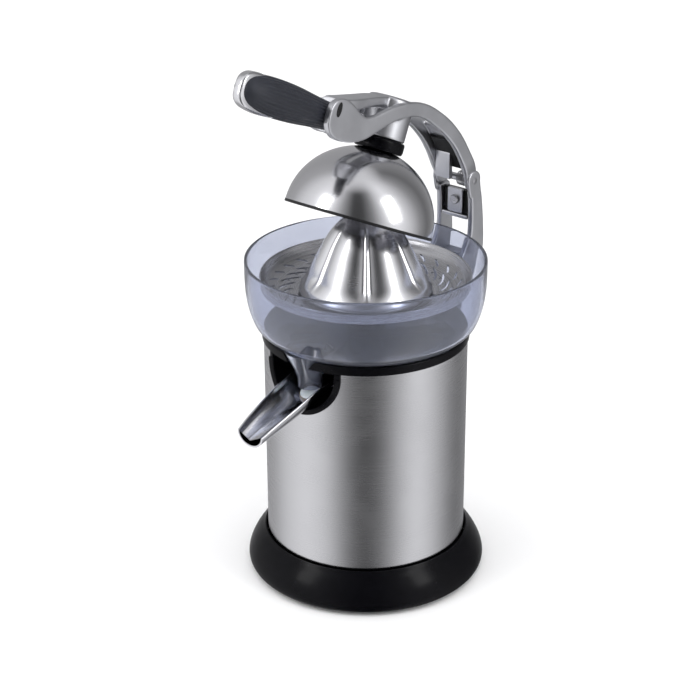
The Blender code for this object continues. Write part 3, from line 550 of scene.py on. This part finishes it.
def make_recess():
    """Black cup round the spout: a block cut from a cylinder a little wider than the body, with
    the half round outline of the recess, hollowed by a smaller half round pocket."""
    wall = softened([(82.4, 155, 0.2), (82.4, 201.4, 0.4), (45.5, 201.4, 0.4), (45.5, 155, 0.2)])
    cup = carved(grid_mesh("cup", [turned(wall, 240)], rings=True),
                 arch_tool(RECESS_R, -120, -36, 210), how="INTERSECT")
    cup = carved(cup, arch_tool(POCKET_R, -120, -49, 215))
    placed("spout_cup", cup, FINISHES["gloss"], "spout_bezel")

    a = np.linspace(math.pi, 2 * math.pi, 73)
    middle = (RECESS_R + POCKET_R) / 2
    x, z = middle * np.cos(a), RECESS_Z + middle * np.sin(a)
    y = -np.sqrt(82.3 ** 2 - x ** 2)
    out = np.column_stack([x, y, np.zeros_like(x)]) / 82.3
    across = np.column_stack([np.cos(a), np.zeros_like(a), np.sin(a)])
    lip = swept(np.column_stack([x, y, z]), across, out,
                box_section(np.full(len(a), middle - POCKET_R + 0.3), 0.9, 0.85))
    added("spout_cup_lip", grid_mesh("spout_cup_lip", [closed_ends(lip)]), FINISHES["gloss"],
          "spout_bezel")


# ---------------------------------------------------------------- bowl, strainer and cone

def make_bowl():
    """Clear bowl: a turned shell about 2.5 mm thick with a rounded rim, a chimney in the middle
    and a funnel below the floor that narrows to the outlet tube."""
    outer = curve([(BOWL_R, BOWL_TOP - 1.4), (BOWL_R, 254), (94.6, 240), (92.4, 227.5), (88.6, 217),
                   (84.8, 211.9), (81.2, 209.5)], 8)
    inner = curve([(79.2, 212.0), (83.0, 214.2), (86.4, 218.6), (89.8, 228.2), (91.8, 240.4),
                   (92.6, 254), (92.9, BOWL_TOP - 1.4)], 8)
    floor = [(12.4, 209.4), (12.2, 209.8), (12.2, 233.6), (12.6, 234.0), (14.0, 234.0),
             (14.4, 233.6), (15.2, 214.6), (17.2, 212.7), (40, 212.2), (62, 211.8)]
    rim = [(93.1, BOWL_TOP - 0.5), (93.8, BOWL_TOP), (94.6, BOWL_TOP), (95.15, BOWL_TOP - 0.5)]
    bowl = grid_mesh("bowl", [turned(np.vstack([outer, floor, inner, rim]), 180)], rings=True)
    outside = softened([(0, 180.2, 0), (9.2, 180.2, 0.6), (9.8, 189.5, 5), (20.2, 211.6, 0.2),
                        (0, 211.6, 0)], closed=False)
    inside = softened([(0, 170, 0), (7.6, 170, 0.2), (7.8, 189.8, 5), (17.6, 213.6, 0.2),
                       (0, 213.6, 0)], closed=False)
    nose = grid_mesh("nose", [turned(outside, 72, (0, OUTLET_Y))])
    way = grid_mesh("way", [turned(inside, 72, (0, OUTLET_Y))])
    placed("clear_bowl", carved(carved(bowl, nose, how="UNION"), way), FINISHES["clear"],
           "juice_bowl")


STRAINER_SLOTS, HOLE_RING = 30, 63.0


def slot_tools():
    """Cutters for the strainer: bars that swirl outwards in two rings, and round holes between."""
    tools = []
    for r_from, r_to, swirl, half in ((57.5, 69.0, 0.30, 1.0), (71.0, 76.5, 0.12, 0.9)):
        t = np.linspace(0, 1, 7)
        r = r_from + (r_to - r_from) * t
        for k in range(STRAINER_SLOTS):
            a = 2 * math.pi * (k + 0.25 * (r_from > 60)) / STRAINER_SLOTS + swirl * t ** 1.3
            centre = np.column_stack([r * np.cos(a), r * np.sin(a), np.full_like(r, 242.0)])
            along = np.gradient(centre, axis=0)
            along /= np.linalg.norm(along, axis=1, keepdims=True)
            side = np.column_stack([-along[:, 1], along[:, 0], np.zeros_like(r)])
            up = np.tile((0.0, 0.0, 1.0), (len(r), 1))
            width = half * np.sqrt(np.clip(1 - (2 * t - 1) ** 8, 0.15, 1))
            tools.append(closed_ends(swept(centre, side, up, box_section(width, 7.0, 0.2, 2))))
    for k in range(STRAINER_SLOTS):
        a = 2 * math.pi * (k + 0.5) / STRAINER_SLOTS + 0.1
        middle = (HOLE_RING * math.cos(a), HOLE_RING * math.sin(a))
        tools.append(closed_ends(turned([(1.1, 230), (1.1, 250)], 10, middle)))
    return grid_mesh("slots", tools)


def make_strainer():
    """Pressed dish with a rolled rim, a sloping wall, a slotted floor and a hole for the drive."""
    top = curve([(83.9, 251.6), (83.4, 253.2), (82.4, 252.8), (80.6, 249.2), (77.4, 245.2),
                 (70, 241.3), (58, 238.7), (46, 236.9), (30, 236.4), (17, 236.4)], 6)
    under = curve([(17, 235.4), (30, 235.4), (46, 235.8), (58, 237.5), (70, 240.1), (78.2, 244.2),
                   (81.4, 248.4), (82.8, 250.6), (82.9, 246.0), (83.9, 246.0)], 6)
    dish = grid_mesh("dish", [turned(np.vstack([top, under]), 180)], rings=True)
    placed("strainer_dish", carved(dish, slot_tools()), FINISHES["dish"], "strainer")


RIDGE_AT = math.radians(-49.5)   # azimuth of one ridge, from +X


def cone_flutes(a, r, z):
    """Reamer section. With p the angle from the nearest ridge in degrees, the radius is
    1 - fade * (0.12 (1 - p / 30)^2 - 0.065 exp(-(p / 2.6)^2)), so that a narrow rib stands in a
    groove between broad rounded lobes; fade is 0 at the foot and the tip."""
    step = 2 * math.pi / CONE_RIDGES
    p = np.degrees(np.abs((a - RIDGE_AT + step / 2) % step - step / 2))
    rise = np.clip((z - 246.0) / 10.0, 0, 1) * np.clip((CONE_TOP - z) / 10.0, 0, 1)
    fade = rise * rise * (3 - 2 * rise)
    return 1 - fade * (0.12 * (1 - p / 30) ** 2 - 0.065 * np.exp(-(p / 2.6) ** 2))


def make_cone():
    """Fluted cone: a turned profile, steep at the foot and rounded at the tip, whose radius is
    multiplied by cone_flutes; the inside is a plain hollow."""
    outer = curve([(0, CONE_TOP), (4, CONE_TOP - 0.5), (9, 303.4), (16, 299.6), (23, 293.8),
                   (28, 287.6), (32.6, 280.6), (37.6, 271), (42.8, 261), (47.8, 250.6),
                   (50.8, 245.4), (52.4, 242.4), (52.6, 241.0)], 8)
    inner = [(52.4, 240.2), (51.6, 240.0), (50.4, 240.2), (49.6, 241), (40, 261), (29.6, 280),
             (18, 290), (0, 294)]
    cone = grid_mesh("cone", [turned(np.vstack([outer, inner]), 360, scale=cone_flutes)], sharp=60)
    placed("fluted_cone", cone, FINISHES["cone"], "juicing_cone")


# ---------------------------------------------------------------- spout

def make_spout():
    """Steel trough: half pipe sections, each an outer arc and an inner arc joined by round lips,
    carried down the slope from the hinge pins; and the silicone seal under the outlet."""
    rows = curve([(3.0, 19.4, 7.6, 10.4), (-6.0, 19.4, 11.0, 15.0), (-24.0, 17.6, 14.5, 17.0),
                  (-45.0, 16.6, 15.4, 15.6), (-66.0, 14.6, 15.6, 13.0), (-81.0, 12.6, 14.8, 10.4)], 6)
    along, half, top, deep = rows.T[:, :, None]
    a = np.linspace(math.pi, 2 * math.pi, 33)[None, :]
    level = top + SPOUT_SLOPE * along

    def arc(inset, turn):
        return np.stack(np.broadcast_arrays((half - inset) * np.cos(turn), along,
                                            level + (deep - inset) * np.sin(turn)), axis=-1)

    lip = np.linspace(0, math.pi, 7)[None, 1:-1]
    right = np.stack(np.broadcast_arrays(half - 0.7 + 0.7 * np.cos(lip), along,
                                         level + 0.7 * np.sin(lip)), axis=-1)
    left = right[:, ::-1] * (-1, 1, 1)
    trough = np.concatenate([arc(0, a), right, arc(1.4, a[:, ::-1]), left], axis=1) + SPOUT_HINGE
    placed("steel_spout", grid_mesh("steel_spout", [closed_ends(trough)]), FINISHES["bright"],
           "juice_spout")

    seal = softened([(0, -0.9, 0), (3, -0.9, 0.3), (8, 0.9, 0.4), (8, 1.5, 0.3), (0, 1.8, 0)],
                    closed=False)
    points = turned(seal, 48, (0, -12.4))
    x, y, z = np.moveaxis(points, -1, 0)
    tilt = math.atan(SPOUT_SLOPE)
    points = np.stack([x, y * math.cos(tilt) - z * math.sin(tilt),
                       y * math.sin(tilt) + z * math.cos(tilt)], axis=-1) + SPOUT_HINGE
    placed("outlet_seal", grid_mesh("outlet_seal", [points]), FINISHES["seal"], "drip_seal")


# ---------------------------------------------------------------- column

def eye_disc(x_low):
    """Round eye at the lever's hinge: a thin disc on the X axis that starts at x_low."""
    outline = softened([(0, 0, 0), (8.4, 0, 0.6), (8.4, EYE_DEEP, 0.6), (0, EYE_DEEP, 0)], closed=False)
    return laid(closed_ends(turned(outline, 64)), "X", (x_low, HINGE[1], HINGE[2]))


def make_column():
    """Two cast plates. Each is a stack of rounded rectangles between a front and a back line;
    above 293 mm it thins to the outer half, where it laps the lever's eye."""
    rows = np.array([(83.8, 104.0, 134.0), (83.8, 104.6, 150.0), (83.8, 105.6, 176.0),
                     (83.9, 108.6, 190.0), (84.2, 115.0, 200.0), (85.4, 122.2, 210.6),
                     (90.0, 126.0, 217.0), (97.4, 129.4, 226.6), (105.0, 131.4, 238.4),
                     (110.8, 132.0, 247.0), (114.0, 131.6, 256.0), (114.7, 130.4, 270.0),
                     (113.9, 128.2, 286.0), (112.4, 126.4, 293.0)])
    for side in (-1, 1):
        path = curve(rows, 6)
        front, back, z = path.T
        x_mid = np.full_like(z, side * (ARM_IN + ARM_OUT) / 2)
        plate = swept(np.column_stack([x_mid, (front + back) / 2, z]),
                      np.tile((0.0, 1.0, 0.0), (len(z), 1)), np.tile((1.0, 0.0, 0.0), (len(z), 1)),
                      box_section((back - front) / 2, (ARM_OUT - ARM_IN) / 2, 1.1))
        y, z_top = HINGE[1], HINGE[2]
        eye_rows = [(y + 2.4, 290.0, 7.6, side * EYE_IN, side * ARM_OUT),
                    (y + 0.8, 296.0, 7.9, side * EYE_IN, side * ARM_OUT),
                    (y, z_top, 8.2, side * EYE_IN, side * ARM_OUT)]
        disc = eye_disc(EYE_IN if side > 0 else -ARM_OUT)
        name = "right" if side > 0 else "left"
        mesh = cast_from(f"column_side_{name}", [closed_ends(plate), strap(eye_rows, 0.7), disc],
                         0.75, 3)
        placed(f"column_side_{name}", mesh, FINISHES["cast"], f"column_plate_{name}")


def make_mechanism():
    """What shows between the column plates: sill and back web, spring box and leaf strip."""
    inside = ARM_IN - 0.3

    def slab(y0, y1, z0, z1, half, corner, x=0.0):
        """A plate with small bevels from y0 to y1 and z0 to z1, `half` wide to each side of x."""
        bevel = np.array([0.3, 0, 0, 0.3])
        middle = np.column_stack([np.full(4, x), [y0, y0 + 0.3, y1 - 0.3, y1],
                                  np.full(4, (z0 + z1) / 2)])
        side = np.tile((1.0, 0.0, 0.0), (4, 1))
        rise = np.tile((0.0, 0.0, 1.0), (4, 1))
        section = box_section(half - bevel, (z1 - z0) / 2 - bevel, corner)
        return closed_ends(swept(middle, side, rise, section))

    web = [slab(114.8, 127.6, 267.6, 270.8, inside, 0.8), slab(123.4, 126.4, 268.5, 290.0, inside, 0.8)]
    placed("column_sill", cast_from("column_sill", web, 0.6, 2), FINISHES["cast"], "column_web")
    placed("spring_housing", grid_mesh("spring_housing", [slab(118.4, 122.8, 271.2, 291.0, inside, 1.0)]),
           FINISHES["matt"], "spring_box")
    placed("leaf_strip", grid_mesh("leaf_strip", [slab(115.4, 118.0, 271.4, 292.4, 7.4, 1.2, -0.2)]),
           FINISHES["cast"], "spring_strip")


# ---------------------------------------------------------------- lever

ARM_ROWS = [(117, 302, 7.4), (107, 310.6, 6.8), (95, 319.2, 6.3), (80, 328, 6.2), (63, 334.6, 6.3),
            (47, 338.4, 6.2), (30, 341, 5.8), (15, 340.2, 5.6), (2, 336.6, 5.6), (-10, 331.6, 5.8),
            (-21, 325.4, 6.2), (-31, 319, 6.8), (-42, 313.6, 8.6)]
CHEEK_ROWS = {1: [(-53, 312.2, 11.6), (-64, 313.2, 14.4), (-74, 314.6, 15.2), (-81, 315.2, 12.8),
                  (-85.4, 315.4, 8.4), (-87, 315.4, 3.4)],
              -1: [(-53, 313.4, 10.6), (-62, 315.4, 11.2), (-70, 316.6, 10.8), (-76, 317.0, 8.6),
                   (-79.4, 317.2, 5.6), (-80.6, 317.2, 2.6)]}
CHEEK_IN, CHEEK_FROM = 12.9, -60.0   # inner face of the cheeks beside the grip, and their start
LAP_FROM = 107.5                 # behind this the lever thins to run between the column's eyes
SLOT_Z, SLOT_Y = 320.5, {1: -78.4, -1: -70.0}


def make_arm():
    """Cast lever: two S shaped side straps that thin at the hinge and end in cheeks beside the
    grip, the left one smaller, a round hub on the dome, a spine to the handle socket, an oval nose
    and a short web, melted together; then a dark sheet under the web, painted shade between the
    straps, and a dark oval disc on each cheek, painted shade in place of a cut slot. The dome's nut
    isn't shown. All are shaped with the lever level, then tipped."""
    pieces = []
    for side in (-1, 1):
        rows = [(y, z, half, side * (CHEEK_IN if y < CHEEK_FROM else ARM_IN),
                 side * (LAP_OUT if y > LAP_FROM else ARM_OUT))
                for y, z, half in ARM_ROWS + CHEEK_ROWS[side]]
        pieces.append(strap(rows, 1.2))
        pieces.append(eye_disc(ARM_IN if side > 0 else -(ARM_IN + EYE_DEEP)))
    hub = softened([(0, 312.2, 0), (18.2, 312.2, 1.0), (18.0, 344, 3.0), (0, 345.2, 0)], closed=False)
    pieces.append(turned(hub, 96, (0, HUB_Y)))
    pieces.append(strap([(-4, 339.6, 4.6, -9, 9), (-20, 337.0, 4.0, -9.4, 9.4),
                         (-34, 333.4, 3.8, -10, 10), (-50, 328.4, 4.4, -11, 11),
                         (-62, 325.6, 4.4, -11, 11)], 1.6))
    pieces.append(ovals([(-42, 313.0, 18.4, 8.4), (-48, 313.8, 18.2, 10.6), (-54, 315.0, 17.4, 13.0),
                         (-61, 316.0, 15.4, 13.6), (-69, 316.0, 13.6, 13.2)]))
    pieces.append(strap([(72, 335.8, 1.2, -14, 14), (80, 332.6, 1.3, -14, 14),
                         (92, 325.4, 1.4, -14, 14), (103, 317.4, 1.6, -14, 14)], 0.6))
    arm = cast_from("lever_arm", [tipped(piece) for piece in pieces], 0.7, 5)
    placed("lever_arm", arm, FINISHES["cast"], "arm_frame", "dome_nut")

    # Painted shade: a matt black sheet under the web stands in for the shadow between the straps.
    shade_sheet = strap([(84, 327.6, 0.9, -12.8, 12.8), (93, 322.0, 0.9, -12.8, 12.8),
                    (102.6, 315.0, 0.9, -12.8, 12.8), (108.6, 309.2, 0.9, -12.8, 12.8)], 0.4)
    added("arm_shade_sheet", grid_mesh("arm_shade_sheet", [tipped(shade_sheet)]), FINISHES["matt"], "arm_frame")
    # Painted shade: dark oval discs on the cheeks stand in for the shadowed inside of a cut slot.
    for side in (-1, 1):
        slot_shade = closed_ends(turned(softened([(0, 0, 0), (5.6, 0, 0.1), (5.6, 0.5, 0.2),
                                              (0, 0.5, 0)], closed=False), 48))
        slot_shade = laid(slot_shade * (0.42, 1, 1), "X", (0, 0, 0)) * (side, 1, 1)
        points = tipped(slot_shade + np.array([side * (ARM_OUT - 0.1), SLOT_Y[side], SLOT_Z]))
        name = "right" if side > 0 else "left"
        added(f"cheek_slot_shade_{name}", grid_mesh(f"cheek_slot_shade_{name}", [points]), FINISHES["matt"],
              "arm_frame")


def make_head():
    """Collar, dome, the screw that holds it and its dark edge, all on the hub's axis."""
    at = (0, HUB_Y)
    collar = softened([(10, 303.6, 0.5), (18.6, 302.2, 1.2), (19.4, 305, 0.8), (19.4, 310.4, 1.2),
                       (18.4, 311.8, 0.6), (3.4, 311.8, 0.3), (3.4, 304.6, 0.3)])
    placed("neck_ring", grid_mesh("neck_ring", [tipped(turned(collar, 96, at))], rings=True),
           FINISHES["gloss"], "neck_collar")
    a = np.linspace(math.acos(3.4 / DOME_R), 0, 48)
    outer = np.column_stack([DOME_R * np.cos(a), DOME_RIM + DOME_RISE * np.sin(a)])
    inner = np.column_stack([(DOME_R - 1.2) * np.cos(a[::-1]),
                             DOME_RIM + (DOME_RISE - 1.2) * np.sin(a[::-1])])
    dome = grid_mesh("dome", [tipped(turned(np.vstack([outer, inner]), 192, at))], rings=True)
    placed("pressing_dome", dome, FINISHES["dome"], "press_dome")
    screw = softened([(0, 300.8, 0), (6.0, 300.8, 0.6), (6.0, 302.2, 0.2), (3.0, 302.2, 0.1),
                      (3.0, 338, 0.2), (0, 338, 0)], closed=False)
    placed("dome_screw", grid_mesh("dome_screw", [tipped(turned(screw, 48, at))]),
           FINISHES["screw"], "dome_bolt")
    edge = softened([(DOME_R + 0.35, DOME_RIM + 0.3, 0.3), (DOME_R + 0.35, DOME_RIM - 2, 0.6),
                     (DOME_R - 1.6, DOME_RIM - 2, 0.6), (DOME_R - 1.6, DOME_RIM + 0.3, 0.3)])
    placed("dome_bead", grid_mesh("dome_bead", [tipped(turned(edge, 192, at))], rings=True),
           FINISHES["matt"], "dome_edge")


def grip_radius(y):
    """The grip's bulge along its length, a smooth curve through a few radii."""
    line = curve([(-168.6, 0.4), (-168.2, 3.4), (-166.8, 6.6), (-163.6, 9.4), (-159, 11.4),
                  (-150, 13.2), (-138, 14.0), (-122, 14.1), (-106, 13.4), (-92, 12.2),
                  (-80, 11.2), (-71, 10.6)], 8)
    return np.interp(y, line[:, 0], line[:, 1])


def make_handle():
    """Grip: radius grip_radius(y) * (1 - 0.03 fade cos^2(14 a)), fine ribs that fade at both ends.
    Core: an upright plate through the grip, a stack of rounded sections whose outline stands proud
    of the rubber round the outer end and along the underside."""
    a = np.linspace(0, 2 * math.pi, 448, endpoint=False)[None, :]
    y = GRIP_START - GRIP_LONG * np.sin(np.linspace(0, math.pi / 2, 120))[:, None]
    fade = np.clip((y + 160) / 12, 0, 1) * np.clip((-76 - y) / 8, 0, 1)
    r = grip_radius(y) * (1 - 0.030 * fade * np.cos(14 * a) ** 2)
    grip = np.stack([r * np.cos(a), y + np.zeros_like(r), GRIP_Z + r * np.sin(a)], axis=-1)
    placed("ribbed_grip", grid_mesh("ribbed_grip", [tipped(closed_ends(grip))], sharp=70),
           FINISHES["rubber"], "hand_grip")

    rows = curve([(-171.0, -2.7, 2.7, 2.5), (-170.6, -5.4, 5.2, 3.1), (-169.2, -8.6, 8.2, 3.8),
                  (-166.4, -11.2, 10.8, 4.3), (-161.6, -13.2, 12.8, 4.6), (-154, -14.4, 13.4, 4.6),
                  (-146, -14.9, 12.4, 4.4), (-136, -14.6, 10.4, 4.0), (-127, -13.6, 9.0, 3.6),
                  (-119, -11.6, 8.4, 3.2), (-110, -9.0, 8.0, 3.0), (-76, -8.0, 8.0, 3.0)], 8)
    y, bottom, top, half = rows.T
    centre = np.column_stack([np.zeros_like(y), y, GRIP_Z + (top + bottom) / 2])
    side = np.tile((1.0, 0.0, 0.0), (len(y), 1))
    rise = np.tile((0.0, 0.0, 1.0), (len(y), 1))
    plate = swept(centre, side, rise, box_section(half, (top - bottom) / 2, 2.4, 8))
    placed("handle_frame", grid_mesh("handle_frame", [tipped(closed_ends(plate))], sharp=50),
           FINISHES["bright"], "handle_core")


# ---------------------------------------------------------------- stage, light and camera

STAGE_R = 9000.0                 # distance to the wall that the floor curves up to


def make_stage():
    """A plain pale floor that curves up to a wall all round, far from the object."""
    bottom = FLOOR - 0.2
    profile = softened([(0, bottom, 0), (STAGE_R, bottom, STAGE_R / 3), (STAGE_R, bottom + STAGE_R, 0)],
                       12, closed=False)
    floor_mesh = grid_mesh("floor", [turned(profile[::-1], 96)], sharp=60)
    floor = link("floor", floor_mesh)
    finish, shader = new_finish("floor_paper", (0.93, 0.93, 0.93), 0.0, 0.9)
    nodes = Nodes(finish)
    nodes.wire(nodes.tint(nodes.noise(nodes.place, 3.0), (0.925, 0.925, 0.925), (0.935, 0.935, 0.935)),
               shader.inputs["Base Color"])
    floor_mesh.materials.append(finish)
    floor.visible_glossy = False


# brightness of the room by azimuth from the camera's side, in degrees, growing to its right
ROOM_BANDS = [(-180, 0.42), (-150, 0.42), (-128, 0.50), (-106, 0.85), (-72, 1.15), (-46, 0.95),
              (-27, 0.38), (-10, 0.07), (8, 0.07), (24, 0.28), (42, 0.85), (60, 1.15), (80, 0.85),
              (104, 0.36), (124, 0.18), (150, 0.32), (180, 0.42)]
CEILING, CEILING_SPAN = 0.85, (60, 82)
COOL = 1.02                      # how much more blue than red the room sends


def make_room():
    """What the metal mirrors: a studio with two wide bright sides, darker between them, and a
    bright ceiling that takes over between the two angles of CEILING_SPAN above the horizon."""
    world = bpy.data.worlds.new("studio")
    world.use_nodes = True
    bpy.context.scene.world = world
    back = world.node_tree.nodes["Background"]
    nodes = Nodes(world, (0, 0, math.pi / 2 - VIEW), source="Generated")
    parts = nodes.add("ShaderNodeSeparateXYZ")
    nodes.wire(nodes.place, parts.inputs[0])
    azimuth = nodes.maths("ARCTAN2", parts.outputs["Y"], parts.outputs["X"])
    share = nodes.spread(azimuth, 0, 1, -math.pi, math.pi)
    ramp = nodes.add("ShaderNodeValToRGB")
    nodes.wire(share, ramp.inputs["Fac"])
    elements = ramp.color_ramp.elements
    while len(elements) < len(ROOM_BANDS):
        elements.new(0.5)
    for element, (degrees, level) in zip(elements, ROOM_BANDS):
        element.position = (degrees + 180) / 360
        element.color = (level, level, level * COOL, 1)
    start, end = (math.sin(math.radians(degrees)) for degrees in CEILING_SPAN)
    overhead = nodes.spread(parts.outputs["Z"], 0, 1, start, end)
    mix = nodes.add("ShaderNodeMix", data_type="RGBA")
    nodes.wire(overhead, mix.inputs["Factor"])
    nodes.wire(ramp.outputs["Color"], mix.inputs[6])
    mix.inputs[7].default_value = (CEILING, CEILING, CEILING * COOL, 1)
    nodes.wire(mix.outputs[2], back.inputs["Color"])


def lamp(name, azimuth, height, distance, width, tall, watts):
    """Soft rectangular lamp aimed at the middle of the machine; azimuth 0 is at -Y, and grows
    towards +X."""
    light = bpy.data.lights.new(name, "AREA")
    light.shape, light.size, light.size_y, light.energy = "RECTANGLE", width, tall, watts
    obj = bpy.data.objects.new(name, light)
    bpy.context.scene.collection.objects.link(obj)
    at = Vector((distance * math.sin(azimuth), -distance * math.cos(azimuth), height))
    obj.location = at
    obj.rotation_euler = (Vector((0, 0, 0.2)) - at).to_track_quat("-Z", "Y").to_euler()


def make_light():
    """Two small soft boxes, and a wide soft light from overhead that only lights, unmirrored."""
    lamp("left_box", VIEW - math.radians(62), 0.9, 1.3, 0.4, 0.9, 5)
    lamp("right_box", VIEW + math.radians(58), 0.9, 1.3, 0.4, 0.9, 5)
    light = bpy.data.lights.new("overhead", "SUN")
    light.energy, light.angle = 1.75, math.radians(100)
    obj = bpy.data.objects.new("overhead", light)
    obj.visible_glossy = False
    bpy.context.scene.collection.objects.link(obj)


CAMERA_REACH, CAMERA_HEIGHT, CAMERA_DOWN = 1.3009, 0.7781, 24.45   # metres, metres, degrees


def make_camera():
    """Camera at azimuth VIEW, looking down by CAMERA_DOWN degrees."""
    camera = bpy.data.cameras.new("camera")
    camera.lens, camera.sensor_width, camera.shift_x = 91.8, 36.0, -0.0226
    obj = bpy.data.objects.new("camera", camera)
    bpy.context.scene.collection.objects.link(obj)
    obj.location = (CAMERA_REACH * math.sin(VIEW), -CAMERA_REACH * math.cos(VIEW), CAMERA_HEIGHT)
    obj.rotation_euler = (math.radians(90 - CAMERA_DOWN), 0, VIEW)
    bpy.context.scene.camera = obj


bpy.context.scene.view_settings.view_transform = "Standard"
finish_nodes()
make_base()
make_body()
make_recess()
make_bowl()
make_strainer()
make_cone()
make_spout()
make_column()
make_mechanism()
make_arm()
make_head()
make_handle()
make_stage()
make_room()
make_light()
make_camera()
